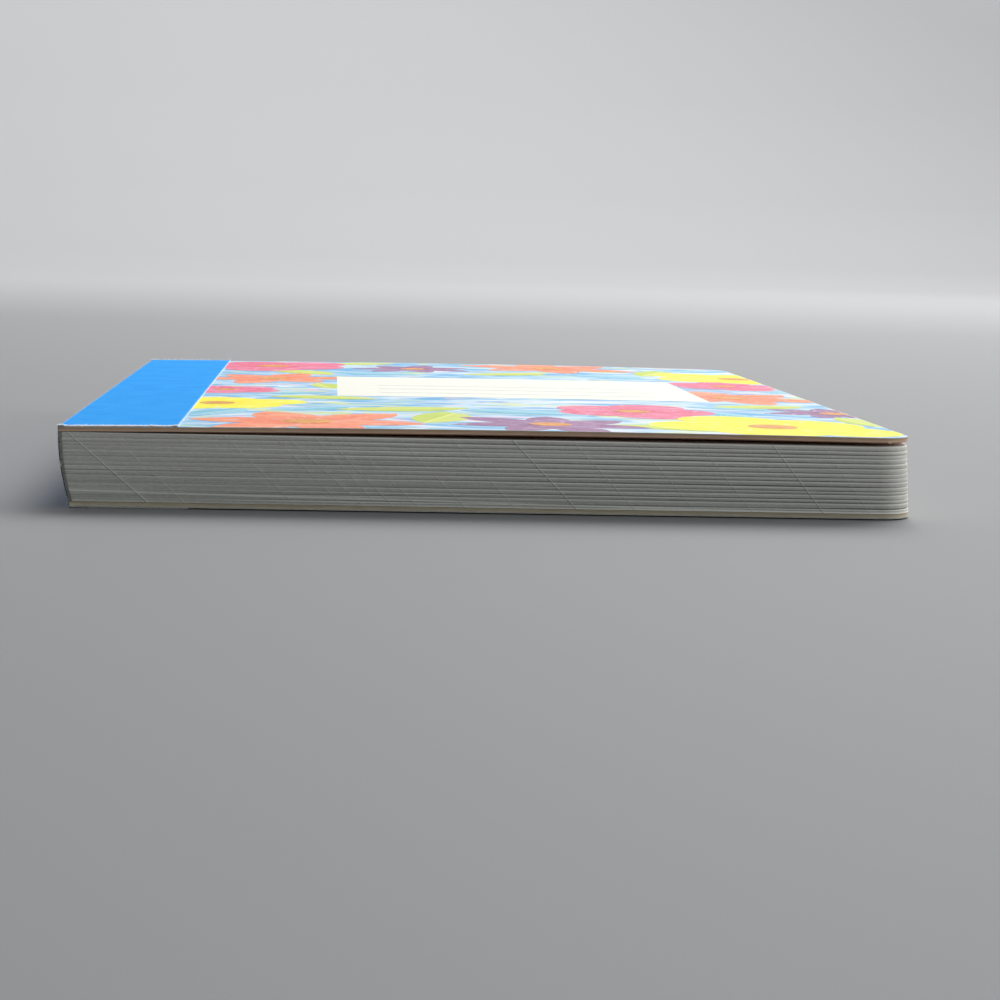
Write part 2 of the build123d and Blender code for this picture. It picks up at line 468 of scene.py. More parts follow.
def inward(x, y):
    """The direction into the block from a place on its flat outline."""
    corner = Vector((plan_high - corner_radius, math.copysign(half_height - corner_radius, y)))
    if x > corner.x and abs(y) > abs(corner.y):
        return (corner - Vector((x, y))).normalized()
    if abs(y) > half_height - edge_inset:
        return Vector((0, -math.copysign(1, y)))
    return Vector((-1, 0)) if x > corner.x else Vector((0, 0))


print("the first sheet spans", [round(end(block_low.z) / mm, 2) for end in (block_spine, block_fore)], "mm")

# %% [markdown]
# Within a group, each sheet below the lip is set back a little more, down to the crease. Each group as a
# whole is trimmed back more or less than the next. Near the spine the glue holds the sheets tight.

# %% Shape a group of sheets
tightest = 0.15
tight_width, loosening_width = 0.1, 0.65


def group_setback(group):
    """How far a whole group of sheets is trimmed back, as a share of the deepest step."""
    return 0.5 + 0.35 * math.sin(2.3 * group) + 0.15 * math.cos(5.1 * group)


def group_profile(place):
    """How far a sheet is set back in its group, from 0 on the top sheet's lip to 1 in the creases."""
    if place > group_lip:
        return ((place - group_lip) / (1 - group_lip)) ** 1.5
    return max(0.5 * (1 - place / group_lip), 1 - place / group_foot)


def looseness(across):
    """How loosely the sheets lie, from tight at the spine to loose over the outer third."""
    share = min(1.0, max(0.0, (across - tight_width) / loosening_width))
    return tightest + (1 - tightest) * share * share * (3 - 2 * share)


def near(value, middle, width):
    """1 where a value meets another, falling softly to 0 a few widths away."""
    return math.exp(-((value - middle) / width) ** 2)


print("setback of a lip", group_profile(group_lip), "and of a crease", group_profile(0.0))

# %% Cut the outline of the block
tail_cuts, fore_cuts = 64, 70
bm = cut_sheet(plan_low, plan_high, block_low.z)
bmesh.ops.delete(bm, geom=bm.faces[:], context="FACES_ONLY")
long_edges = [e for e in bm.edges if e.calc_length() > half_height]
fore_edge = [e for e in long_edges if min(v.co.x for v in e.verts) > 0]
tail_and_head = [e for e in long_edges if abs(e.verts[0].co.x - e.verts[1].co.x) > half_height]
bmesh.ops.subdivide_edges(bm, edges=tail_and_head, cuts=tail_cuts)
bmesh.ops.subdivide_edges(bm, edges=fore_edge, cuts=fore_cuts)
ring_edges = bm.edges[:]
bottom_face = bmesh.ops.contextual_create(bm, geom=ring_edges)["faces"]
plan = bm.verts.layers.float_vector.new("plan")
row_tone_and_painted_light = bm.verts.layers.float.new("row_tone_and_painted_light")
nick = bm.verts.layers.float.new("nick")
for v in bm.verts:
    v[plan] = v.co
print("points round the outline", len(ring_edges))

# %% [markdown]
# One row is one ring of points. It takes its sheet's height, its lean and its setback, and a tint: a
# painted highlight on a lip, painted shade in a crease, and slow clouds of tone along the edge between
# them.

# %% Settle the painted light and tone of a row
base_tint, fore_gain, corner_gain = 0.6, 0.08, 0.06
sheet_contrast, corner_contrast, middle_luck = 0.1, 0.2, 0.3
# Painted highlight on the lips and painted shade in the creases
lip_painted_highlight, lower_lip_painted_highlight = 0.75, 0.4
lip_width, crease_painted_shade, crease_width, top_crease = 0.12, 0.75, 0.26, 0.93
cloud_depth, cloud_fade = 0.22, 0.8
corner_calm = 0.55
# The stray leaf and the outermost sheets get a painted highlight, and each sheet's foot painted shade
stray_painted_highlight, outer_painted_highlight, foot_painted_shade = 0.6, 0.6, 0.05
outer_sheets = (2, 1.5)
# How fast each slow noise changes for a millimetre along the edge, and from one sheet to the next
gap_middle, gap_pitch, gap_change = 0.9, 0.05, 3.7
wave_pitch, wave_change = 0.07, 0.9
lift_pitch, lift_change, lift_start = 0.04, 0.15, 9
cloud_pitch, cloud_change, cloud_side = 0.03, 0.55, 5


def drift(flat, pitch, number):
    """Slow noise along the edge of the block, from -1 to 1, another one for each number."""
    return noise.noise(Vector((flat.x, flat.y, 0)) / mm * pitch + Vector((0, 0, number)))


def lip_and_crease_light_of(place, group, reached):
    """The painted highlight on a row at its group's lip and the painted shade in its creases."""
    light = lip_painted_highlight + lower_lip_painted_highlight * (1 - reached / sheet_count)
    crease = max(0.0, 1 - place / crease_width) * min(1, group)
    crease += max(0.0, (place - top_crease) / (1 - top_crease))
    return light * near(place, group_lip - 0.02, lip_width) - crease_painted_shade * crease


print("tint of a lip", round(lip_and_crease_light_of(group_lip, 1, 0), 2), "and of a crease", round(lip_and_crease_light_of(0, 1, 0), 2))


# %% Move and tint one row
def set_row(ring, sheet, share, last=False):
    """Moves one ring of points to its sheet's height, lean and setback, and gives it its tone and painted
    light.
    """
    reached = sheet + share
    group = max(k for k, start in enumerate(group_starts[:-1]) if start <= reached)
    group_stop = min(group_starts[group + 1], sheet_count)
    place = (reached - group_starts[group]) / (group_stop - group_starts[group])
    z = block_low.z + reached * sheet_thickness
    spine, fore = block_spine(z), block_fore(z)
    profile, lip_and_crease_light = group_profile(place), lip_and_crease_light_of(place, group, reached)
    crease_number = group + round(place)
    lowest = max(0.0, 1 - reached / outer_sheets[0])
    highest = max(0.0, 1 - (sheet_count - reached) / outer_sheets[1])
    level_row = last or reached == 0
    for v in ring:
        flat = v[plan]
        across = (flat.x - plan_low) / (plan_high - plan_low)
        corner = min(1.0, max(0.0, (flat.x - plan_high) / corner_radius + 1))
        loose = looseness(across)
        pressed = 1 - corner_press * corner
        gap = gap_middle + drift(flat, gap_pitch, gap_change * crease_number)
        stray = near(reached * sheet_thickness, stray_start - stray_fall * across, stray_width)
        stray = stray if flat.y < 0 else 0.0
        setback = pressed * group_step * group_setback(group) + sheet_wander * sheet_luck[sheet]
        waves = group_bulge * profile * gap + wave_depth * drift(flat, wave_pitch, wave_change * sheet)
        setback += loose * pressed * waves
        if share == 0:
            setback += sheet_crease
        setback = max(0.0, (setback - stray_reach * stray) * (1 - lowest))
        lift = row_wave * drift(flat, lift_pitch, lift_change * sheet + lift_start)
        direction = inward(flat.x, flat.y)
        x = spine + (fore - spine) * across
        y = flat.y + direction.y * setback
        v.co = (x + direction.x * setback, y, z if level_row else z + lift)
        side = math.copysign(cloud_side, flat.y)
        cloud = noise.noise(Vector((flat.x / mm * cloud_pitch, side, cloud_change * reached)))
        light = base_tint + fore_gain * across + corner_gain * corner
        light += (sheet_contrast + corner_contrast * corner) * (sheet_luck[sheet] - middle_luck)
        light += cloud_depth * (1 - cloud_fade * across) * cloud
        # The lip and crease tint: a painted highlight on each lip and painted shade in each crease
        light += loose * gap * lip_and_crease_light * (1 - corner_calm * corner)
        # Painted highlight on the stray leaf and the outermost sheets, painted shade at each sheet's foot
        light += stray_painted_highlight * stray + loose * outer_painted_highlight * (lowest + highest)
        v[row_tone_and_painted_light] = light - (foot_painted_shade if share == 0 else 0.0)


set_row(bm.verts[:], 0, 0.0)
print("tints of the first row", [round(tint([v[row_tone_and_painted_light] for v in bm.verts]), 2) for tint in (min, max)])

# %% Extrude the block row by row
rows_in_sheet = (0.0, 0.3, 0.75)
rows = [(sheet, share) for sheet in range(sheet_count) for share in rows_in_sheet][1:]
rows.append((sheet_count - 1, 1.0))
for sheet, share in rows:
    made = bmesh.ops.extrude_edge_only(bm, edges=ring_edges)["geom"]
    ring_edges = [e for e in made if isinstance(e, bmesh.types.BMEdge)]
    ring_verts = [v for v in made if isinstance(v, bmesh.types.BMVert)]
    set_row(ring_verts, sheet, share, last=share == 1.0)
top_face = bmesh.ops.contextual_create(bm, geom=ring_edges)["faces"]
for face in bottom_face + top_face:
    face.material_index = 1
bmesh.ops.recalc_face_normals(bm, faces=bm.faces[:])
print("rows", len(rows) + 1, "faces", len(bm.faces))

# %% [markdown]
# Nicks of the knife
#
# A nick in the blade leaves a fine slanting ridge down the cut edges. Each one is four slanting cuts
# through the rows. The ridge's points are drawn out by a hair and painted light as a highlight, and the
# points beside it are painted dark as its shade. The weaker ones come and go on their way up.

# %% Draw the nicks on the tail and head edges
# Where a nick meets the foot of the block, how far it runs along for each millimetre up, its width and its
# strength
tail_nicks = [
    (-33.0, 1.15, 0.1, 1.0), (8.2, 0.97, 0.1, 1.0), (32.4, 0.8, 0.09, 0.9), (-29.5, 1.1, 0.06, 0.45),
    (-19.0, 1.05, 0.06, 0.5), (-14.5, 1.0, 0.06, 0.5), (-12.4, 1.15, 0.05, 0.6), (-11.0, 0.95, 0.05, 0.6),
    (-9.6, 1.0, 0.07, 0.7), (-7.2, 1.1, 0.05, 0.55), (-2.6, 1.0, 0.06, 0.6), (2.2, 0.95, 0.05, 0.5),
    (13.9, 0.95, 0.07, 0.65), (19.8, 0.9, 0.06, 0.55), (25.4, 0.85, 0.07, 0.65), (37.0, 0.75, 0.05, 0.5),
]
head_nicks = [
    (-24.0, -1.1, 0.1, 1.0), (2.5, -1.0, 0.05, 0.5), (17.0, -0.95, 0.08, 0.85), (30.5, -0.85, 0.05, 0.4),
]
nick_height = 0.05 * mm
nick_search = 2
# How often a weak nick breaks for each millimetre up, and how far its strength swings
nick_breaks, nick_swing = 1.7, 1.2
# Each cut's place, in widths of the nick, and its painted light: a highlight above 0 and shade below 0
nick_cuts = ((-2, 0.0), (-1, -0.6), (1, 0.0), (0, 1.0))


def draw_nick(bm, side, foot, slant, width, strength):
    """Cuts one slanting ridge into the rows of the tail edge, side -1, or the head edge, side 1."""
    normal = Vector((1, 0, slant)).normalized()
    run = -slant * (block_high.z - block_low.z) / mm
    reach_low, reach_high = foot + min(0, run) - nick_search, foot + max(0, run) + nick_search
    faces = [
        f for f in bm.faces
        if f.material_index == 0 and f.normal.y * side > 0.3
        and reach_low < f.calc_center_median().x / mm < reach_high
    ]
    corners_and_edges = {v for f in faces for v in f.verts} | {e for f in faces for e in f.edges}
    around = list(set(faces) | corners_and_edges)
    for offset, lightness in nick_cuts:
        plane_place = ((foot + offset * width) * mm, 0, block_low.z)
        made = bmesh.ops.bisect_plane(bm, geom=around, dist=1e-8, plane_no=normal, plane_co=plane_place)
        around = made["geom"]
        for v in made["geom_cut"]:
            if isinstance(v, bmesh.types.BMVert):
                swing = noise.noise(Vector((foot, side, v.co.z / mm * nick_breaks)))
                broken = strength + (nick_swing - strength) * swing
                # Each cut point takes its painted highlight or painted shade
                v[nick] = lightness * min(1.0, max(0.0, broken))
                v.co.y += side * nick_height * max(0.0, v[nick])


print("nicks on the tail", len(tail_nicks), "and on the head", len(head_nicks))

# %% Cut the nicks, and make the block a piece
for entry in tail_nicks:
    draw_nick(bm, -1, *entry)
for entry in head_nicks:
    draw_nick(bm, 1, *entry)
cut_leaves = make_piece(bm, "cut_leaves", [cut_edges, ruled_sheet], smooth_angle=60)
for face in cut_leaves.data.polygons:
    if face.material_index == 1:
        face.use_smooth = False
dress(cut_leaves, "block", "page_edges", "page_block")

# %% [markdown]
# Glue on the spine
#
# A thin layer of dried glue holds the sheets. Only its two ends show, as a dull line between the sheets and
# the cloth. The solid already has the right shape, so it keeps it and takes a finish.

# %% Finish the glue
dried_glue, tree, shader = new_finish("dried_glue", 0.5, specular=0.4)
clot = patches(tree, (1.5, 1.5, 3.0), 0.3, 0.7, detail=4.0)
# The glue's grey is kept dark, partly as painted shade at the spine's ends
paint(tree, shader, mixed(tree, clot, (128, 128, 120), (162, 160, 150)))
bump(tree, shader, clot, 0.05 * mm, 0.7)
spine_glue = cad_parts["spine_glue"]
spine_glue.data.materials.clear()
spine_glue.data.materials.append(dried_glue)
print("made", dried_glue.name)

# %% [markdown]
# The finish of the cloth tape
#
# The tape is a fine book cloth, dyed and filled until it is nearly smooth. Its weave is read from the run
# of the cloth, which the mesh carries in millimetres, so it follows the folds. The dye has rubbed off along
# the folds and at the cut ends, where the white thread shows. Light passes through loose thread, so its
# finish scatters light inside. Down the spine the cut end is painted dark: glue has soaked into it, and the
# colour also holds painted shade.

# %% Make the finish of the tape
weave_pitch = 0.32
tape_cloth, tree, shader = new_finish("tape_cloth", 0.8, specular=0.03)
run, along, rub = split(tree, attribute(tree, "cloth")["Vector"])
turns = 2 * math.pi / weave_pitch
warp = calc(tree, "SINE", times(tree, run, turns))
weft = calc(tree, "SINE", times(tree, along, turns))
weave = calc(tree, "MULTIPLY_ADD", times(tree, warp, weft), 0.5, 0.5)
cloud = patches(tree, (0.25, 0.25, 0.25), 0.3, 0.7, detail=5.0)
speck = patches(tree, (6, 6, 6), 0.35, 0.65, detail=2.0)
dye = mixed(tree, cloud, (36, 153, 241), (50, 167, 249))
dye = mixed(tree, times(tree, speck, 0.2), dye, (100, 188, 252))
dye = mixed(tree, times(tree, weave, 0.08), dye, (14, 104, 205))
bare = times(tree, rub, patches(tree, (1.6, 1.6, 1.6), 0.3, 0.5, detail=5.0))
dye = mixed(tree, bare, dye, (236, 241, 246))
paint(tree, shader, dye)
relief = bump(tree, shader, weave, 0.02 * mm, 0.5)
bump(tree, shader, speck, 0.015 * mm, 0.5, after=relief)

bare_thread, tree, shader = new_finish("bare_thread", 0.9, specular=0.1)
fibre = patches(tree, (4, 4, 4), 0.3, 0.6, detail=3.0)
paint(tree, shader, mixed(tree, fibre, (206, 224, 244), (253, 253, 250)))
shader.inputs["Subsurface Weight"].default_value = 1.0
shader.inputs["Subsurface Radius"].default_value = (1.0, 1.0, 1.0)
shader.inputs["Subsurface Scale"].default_value = 0.3 * mm
bump(tree, shader, fibre, 0.02 * mm, 0.6)

# The spine's cut end: glue-soaked cloth, darkened further as painted shade
glued_end_and_shade, tree, shader = new_finish("glued_end_and_shade", 0.7, specular=0.2)
soaked = patches(tree, (3, 3, 3), 0.3, 0.7, detail=4.0)
paint(tree, shader, mixed(tree, soaked, (58, 74, 86), (98, 112, 120)))
bump(tree, shader, soaked, 0.03 * mm, 0.6)
print("threads every", weave_pitch, "mm")

# %% [markdown]
# The tape
#
# One strip of cloth laps onto the front cover, folds round the spine and laps under the back cover. It
# bends at two hinges, so it is made as two pieces that meet at the middle of the spine.

# %% Settle the folds of the cloth
fold_radius = 0.22 * mm
cut_round = 0.1 * mm
lap_border = 0.4 * mm
worn_end = 1.0 * mm
hinge_reach = 0.45 * mm
close_rows, wide_rows, hinge_rows, spine_rows = 0.1 * mm, 0.8 * mm, 0.03 * mm, 0.3 * mm
close_columns, wide_columns = 0.14 * mm, 1.3 * mm
spine_tree = tree_of("spine_tape")
middle_z = (spine_low.z + spine_high.z) / 2


def spine_face(z, corner_x):
    """The outside of the cloth at a height on the spine. Above and below the block it is upright."""
    if not spine_low.z + edge_inset < z < spine_high.z - edge_inset:
        return corner_x
    return spine_tree.ray_cast(Vector((-0.2, 0, z)), Vector((1, 0, 0)))[0].x


spine_roll = spine_face(middle_z, tape_low.x) - tape_low.x
print("mid-spine lies", round(spine_roll / mm, 2), "mm in from the fold")

# %% [markdown]
# Each piece is a flat grid, laid along a path in side view: the lap, a tight fold, the cover's edge, and
# the rolled spine. The rows lie closer together where the cloth folds, at the hinge above all, because
# there it has to turn right round.


# %% Lay out the path of the cloth
def evenly(start, end, spacing):
    """Values from a start up to, but not with, an end."""
    count = max(1, round(abs(end - start) / spacing))
    return [start + (end - start) * k / count for k in range(count)]


def cloth_path(free_x, corner_x, face_z, up):
    """The cloth in side view, from the lap's free edge to mid-spine, and its fold. up is 1 in front."""
    hinge_z = spine_high.z if up > 0 else spine_low.z
    fold_x = corner_x + fold_radius
    lap_x = evenly(free_x, free_x - lap_border, close_rows)
    lap_x += evenly(free_x - lap_border, fold_x + lap_border, wide_rows)
    lap = [(x, face_z(x)) for x in lap_x + evenly(fold_x + lap_border, fold_x, close_rows)]
    centre_z = face_z(fold_x) - up * fold_radius
    fold = [
        (fold_x - fold_radius * math.sin(a), centre_z + up * fold_radius * math.cos(a))
        for a in evenly(0, math.pi / 2, math.pi / 20)
    ]
    hinge_end = hinge_z - up * hinge_reach
    heights = evenly(centre_z, hinge_end, hinge_rows)
    heights += evenly(hinge_end, middle_z, spine_rows) + [middle_z]
    return lap + fold + [(spine_face(z, corner_x), z) for z in heights], len(lap) + len(fold) // 2


front_path, front_fold = cloth_path(
    tape_high.x, tape_low.x, lambda x: spine_top + tape_thickness + bow(x), up=1
)
back_path, back_fold = cloth_path(back_tape_high.x, back_tape_low.x, lambda x: 0.0, up=-1)
print("points on the paths", len(front_path), len(back_path))

# %% [markdown]
# The grid carries what the finish needs: how far the cloth has run, how far along the spine it is, and how
# worn it is. It is worn on the folds, at the lap's free edge, and in ragged tongues at the cut ends.

# %% Settle the columns and the wear
fold_wear, fold_wear_width = 0.6, 0.3 * mm
lap_wear, lap_wear_width = 0.5, 0.2 * mm
end_wear = 1.6
tongue_middle, tongue_depth, tongue_pitch = 0.62, 0.6, 0.8
cloth_columns = evenly(-half_height, worn_end - half_height, close_columns)
cloth_columns += evenly(worn_end - half_height, half_height - worn_end, wide_columns)
cloth_columns += evenly(half_height - worn_end, half_height, close_columns) + [half_height]


def rubbed(distance, width):
    """How worn the cloth is at a distance from a line, from 1 on it down to 0."""
    return max(0.0, 1.0 - abs(distance) / width)


print("columns of cloth", len(cloth_columns))


# %% Wrap the cloth
def on_path(place, path):
    """Whether a place lies on a path's points in side view, so on the outside of the cloth."""
    hair = edge_inset / 10
    return any(abs(place.x - x) < hair and abs(place.z - z) < hair for x, z in path)


def wrap_cloth(path, fold_index, up):
    """A grid of cloth laid along a path in side view, with its wall inside and its cut ends rounded."""
    bm = bmesh.new()
    rows, columns = len(path) - 1, len(cloth_columns) - 1
    bmesh.ops.create_grid(bm, x_segments=rows, y_segments=columns, size=0.5)
    cloth = bm.verts.layers.float_vector.new("cloth")
    runs = [0.0]
    for before, here in zip(path, path[1:]):
        runs.append(runs[-1] + math.dist(before, here))
    for v in bm.verts:
        index = round((v.co.x + 0.5) * rows)
        y = cloth_columns[round((v.co.y + 0.5) * columns)]
        fold_rub = fold_wear * rubbed(runs[index] - runs[fold_index], fold_wear_width)
        lap_rub = lap_wear * rubbed(runs[index], lap_wear_width)
        tongue = noise.noise(Vector((runs[index] / mm * tongue_pitch, math.copysign(3.0, y), 0)))
        tongue_reach = worn_end * (tongue_middle + tongue_depth * tongue)
        end_rub = min(1.0, end_wear * rubbed(half_height - abs(y), tongue_reach))
        v[cloth] = (runs[index] / mm, y / mm, max(fold_rub, end_rub, lap_rub))
        v.co = (path[index][0], y, path[index][1])
    if up > 0:
        bmesh.ops.reverse_faces(bm, faces=bm.faces[:])
    bm.normal_update()
    bmesh.ops.solidify(bm, geom=bm.faces[:], thickness=tape_thickness)
    ends = [v for v in bm.verts if abs(abs(v.co.y) - half_height) < edge_inset]
    at_ends = {v for v in ends if on_path(v.co, path)}
    rim = [e for e in bm.edges if e.verts[0] in at_ends and e.verts[1] in at_ends]
    bmesh.ops.bevel(bm, geom=rim, offset=cut_round, segments=2, profile=0.5, affect="EDGES", material=-1)
    return bm


front_bm = wrap_cloth(front_path, front_fold, up=1)
back_bm = wrap_cloth(back_path, back_fold, up=-1)
print("faces of cloth", len(front_bm.faces), len(back_bm.faces))


# %% Finish the cut ends of the cloth
def bare_ends(bm, path, fold_index):
    """Gives the cut ends bare thread on the lap and glue with painted shade down the spine, and the free
    edge thread.
    """
    fold_x = path[fold_index][0] + fold_radius
    bm.normal_update()
    for face in bm.faces:
        middle = face.calc_center_median()
        if half_height - abs(middle.y) < cut_round and abs(face.normal.y) > 0.3:
            face.material_index = 1 if middle.x > fold_x else 2
        elif abs(middle.x - path[0][0]) < edge_inset:
            face.material_index = 1


bare_ends(front_bm, front_path, front_fold)
bare_ends(back_bm, back_path, back_fold)
bare_faces = [f for f in front_bm.faces[:] + back_bm.faces[:] if f.material_index > 0]
print("faces with thread or glue", len(bare_faces))

# %% [markdown]
# Frayed ends
#
# At the tail and the head the cloth is cut across its threads. Short stray fibres stand out there, each a
# thin cone: many on the laps, where they are brushed up, and few down the spine, where glue holds them.
# They are part of the cloth's own mesh.

# %% Fray the cut ends
fibre_depth = (0.02, 0.1)
fibre_length = (0.1, 0.38)
fibre_reach = (0.4, 1.2)
fibre_sway = 0.9
# How far they are brushed up, on the front and on the back
fibre_lift = {1: 1.1, -1: 0.4}
fibre_out = 0.35
fibre_root, fibre_tip = 0.016 * mm, 0.005 * mm


def fray(bm, path, fold_index, up, lap_count, spine_count):
    """Adds fibres to both cut ends of a wrapped cloth, first on the lap and then down the spine."""
    cloth = bm.verts.layers.float_vector["cloth"]
    for number in range(lap_count + spine_count):
        on_lap = number < lap_count
        place = random.uniform(0, fold_index) if on_lap else random.uniform(fold_index, len(path) - 1.01)
        before, after = path[int(place)], path[int(place) + 1]
        side = random.choice((-1, 1))
        depth = random.uniform(*fibre_depth) * mm
        length = random.uniform(*fibre_length) * mm
        at = Vector((before[0], side * half_height, before[1]))
        at += Vector((after[0] - before[0], 0, after[1] - before[1])) * (place - int(place))
        at += Vector((0, 0, -up * depth)) if on_lap else Vector((depth, 0, 0))
        lift = random.uniform(0.0, fibre_lift[up])
        sway, reach = random.uniform(-fibre_sway, fibre_sway), random.uniform(*fibre_reach)
        lean = Vector((sway, side * reach, lift)).normalized()
        turn = Vector((0, 0, 1)).rotation_difference(lean).to_matrix().to_4x4()
        made = bmesh.ops.create_cone(
            bm, cap_ends=True, segments=4, radius1=fibre_root, radius2=fibre_tip, depth=length,
            matrix=Matrix.Translation(at + lean * length * fibre_out) @ turn,
        )
        for v in made["verts"]:
            v[cloth] = (0, 0, 1)
            v.co.z = max(v.co.z, 0.0)
            for face in v.link_faces:
                face.material_index = 1


fray(front_bm, front_path, front_fold, up=1, lap_count=1100, spine_count=60)
fray(back_bm, back_path, back_fold, up=-1, lap_count=420, spine_count=60)
tape_front = make_piece(front_bm, "tape_front", [tape_cloth, bare_thread, glued_end_and_shade])
tape_back = make_piece(back_bm, "tape_back", [tape_cloth, bare_thread, glued_end_and_shade])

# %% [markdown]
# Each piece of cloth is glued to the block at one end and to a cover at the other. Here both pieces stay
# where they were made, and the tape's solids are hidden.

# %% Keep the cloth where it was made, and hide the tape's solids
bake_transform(tape_front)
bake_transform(tape_back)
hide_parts("front_tape", "spine_tape")
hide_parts("back_tape")

# %% [markdown]
# The finish of the card
#
# The covers are cheap red-brown card. Its faces show short fibres, and its cut edge is rougher and shows
# the layers that it was pressed from.

# %% Make the finishes of the card
card_face, tree, shader = new_finish("card_face", 0.8, specular=0.25)
fibres = patches(tree, (1.2, 5.0, 5.0), 0.35, 0.65, detail=5.0)
flecks = patches(tree, (3.5, 3.5, 3.5), 0.66, 0.72, detail=2.0)
tint = mixed(tree, fibres, (182, 134, 104), (204, 160, 130))
tint = mixed(tree, times(tree, flecks, 0.5), tint, (120, 84, 62))
paint(tree, shader, tint)
bump(tree, shader, fibres, 0.02 * mm, 0.5)


def board_edge(name, upper, lower):
    """The cut edge of a card, from its colour under the paper to its paler foot."""
    material, tree, shader = new_finish(name, 0.9, specular=0.15)
    depth = attribute(tree, "card_depth")["Fac"]
    plies = patches(tree, (0.6, 0.6, 12.0), 0.3, 0.7, detail=4.0)
    paler = share_of(tree, depth, 0.3, 0.95)
    level = calc(tree, "MULTIPLY_ADD", calc(tree, "SUBTRACT", plies, 0.5), 0.6, paler, clamp=True)
    paint(tree, shader, mixed(tree, level, upper, lower))
    bump(tree, shader, plies, 0.04 * mm, 0.8)
    return material


front_edge = board_edge("front_card_edge", (200, 168, 138), (240, 206, 180))
back_edge = board_edge("back_card_edge", (200, 190, 158), (250, 240, 218))
print("made", card_face.name, front_edge.name, "and", back_edge.name)

# %% [markdown]
# The two cards
#
# Each card is the flat outline, cut across so that it can bend, lifted by the bow where it is the front
# one, and given its thickness downwards. Its rims are rounded by a hair, because the knife crushes them,
# and where the front card stands off the block its cut edge has a burr that points down.

# %% Make the cards
board_spacing = 9.0 * mm
card_rim = 0.05 * mm
card_burr = 0.12 * mm
burr_width = 0.4 * mm


def add_burr(bm):
    """Draws the lower rim of a bowed card down where there is room above the block."""
    bm.normal_update()
    under = [f for f in bm.faces if f.normal.z < -0.5]
    rim_verts = {v for f in under for v in f.verts if any(g.normal.z > -0.5 for g in v.link_faces)}
    bmesh.ops.inset_region(bm, faces=under, thickness=burr_width, use_boundary=True, use_even_offset=True)
    for v in rim_verts:
        v.co.z -= min(card_burr, 0.5 * bow(v.co.x))


def make_board(x_low, x_high, top_z, thickness, bowed=False, rim=0.0):
    """A cover sheet with its thickness below its top face."""
    bm = cut_sheet(x_low, x_high, top_z)
    cut_across(bm, bow_spacing, axis=0)
    cut_across(bm, board_spacing, axis=1)
    if bowed:
        for v in bm.verts:
            v.co.z += bow(v.co.x)
    thicken(bm, thickness)
    if bowed and rim:
        add_burr(bm)
    if rim:
        rims = [e for e in bm.edges if len(e.link_faces) == 2 and e.calc_face_angle() > math.radians(60)]
        flat_rims = [e for e in rims if abs(e.verts[0].co.z - e.verts[1].co.z) < rim]
        bmesh.ops.bevel(
            bm, geom=flat_rims, offset=rim, segments=2, profile=0.5, affect="EDGES", material=-1,
        )
    set_sides(bm, 1)
    card_depth = bm.verts.layers.float.new("card_depth")
    for v in bm.verts:
        v[card_depth] = (top_z + (bow(v.co.x) if bowed else 0.0) - v.co.z) / thickness
    return bm


card_top = card_low.z + card_thickness
bm = make_board(card_low.x, card_high.x, card_top, card_thickness, bowed=True, rim=card_rim)
dress(make_piece(bm, "front_board", [card_face, front_edge]), "front_cover", "card", "front_card")
bm = make_board(back_card_low.x, back_card_high.x, back_card_high.z, card_thickness, rim=card_rim)
dress(make_piece(bm, "back_board", [card_face, back_edge]), "back_cover", "card", "back_card")

# %% [markdown]
# The finish of the cover paper
#
# The paper on the covers is coated, and its ground is painted in loads of sky blue, white, lime and pink.
# Each load is noise that a swirl bends into strokes, cut off at a level, so it has the edges of a brush
# stroke. The coat has cracked and rubbed off in a thin line along the open edges, where the white core
# shows.

# %% Make the finishes of the cover paper
print_roughness = 0.5
print_specular = 0.1
wear_width = 0.18


def worn(tree, tint, core):
    """A print's colour with a worn, broken line of core along the tail, head and fore-edge."""
    x, y, _ = split(tree, place_in_mm(tree))
    from_end = calc(tree, "SUBTRACT", half_height / mm, calc(tree, "ABSOLUTE", y))
    from_fore = calc(tree, "SUBTRACT", card_high.x / mm, x)
    nearest = calc(tree, "MINIMUM", from_end, from_fore)
    scuffed = patches(tree, (0.8, 0.8, 0.8), 0.35, 0.75, detail=5.0)
    reach = times(tree, scuffed, wear_width)
    wear = share_of(tree, calc(tree, "SUBTRACT", nearest, reach), 0.06, -0.02)
    return mixed(tree, wear, tint, core)


def varnish(tree, shader):
    """The faint relief of the varnish, on the paper and on the inks."""
    bump(tree, shader, grain(tree, (5, 5, 5), detail=4.0), 0.006 * mm, 0.5)


sky_paper, tree, shader = new_finish("sky_paper", print_roughness, print_specular)
wash = patches(tree, (0.08, 0.14, 0.1), 0.36, 0.62, detail=2.0, swirl=1.0)
sky = mixed(tree, wash, (118, 188, 226), (200, 226, 242))
# Each brush load: how dense it is, where its strokes start and end, how strong they are, and its colour
brush_loads = (
    ((0.09, 0.2, 1.0), 0.5, 0.6, 0.8, (86, 168, 222)),
    ((0.08, 0.24, 5.0), 0.55, 0.61, 0.7, (240, 244, 250)),
    ((0.07, 0.2, 9.0), 0.6, 0.66, 0.7, (220, 232, 126)),
    ((0.06, 0.22, 13.0), 0.62, 0.68, 0.6, (244, 190, 204)),
)
for stretch, stroke_start, stroke_end, strength, colour in brush_loads:
    stroke = patches(tree, stretch, stroke_start, stroke_end, detail=1.5, swirl=1.6)
    sky = mixed(tree, times(tree, stroke, strength), sky, colour)
sky = worn(tree, sky, (236, 234, 226))
paint(tree, shader, sky)
varnish(tree, shader)

paper_core, tree, shader = new_finish("paper_core", 0.8, specular=0.2)
core = patches(tree, (2, 2, 9), 0.3, 0.7, detail=4.0)
paint(tree, shader, mixed(tree, core, (206, 202, 190), (242, 240, 232)))
bump(tree, shader, core, 0.02 * mm, 0.6)
print("made", sky_paper.name, "and", paper_core.name)

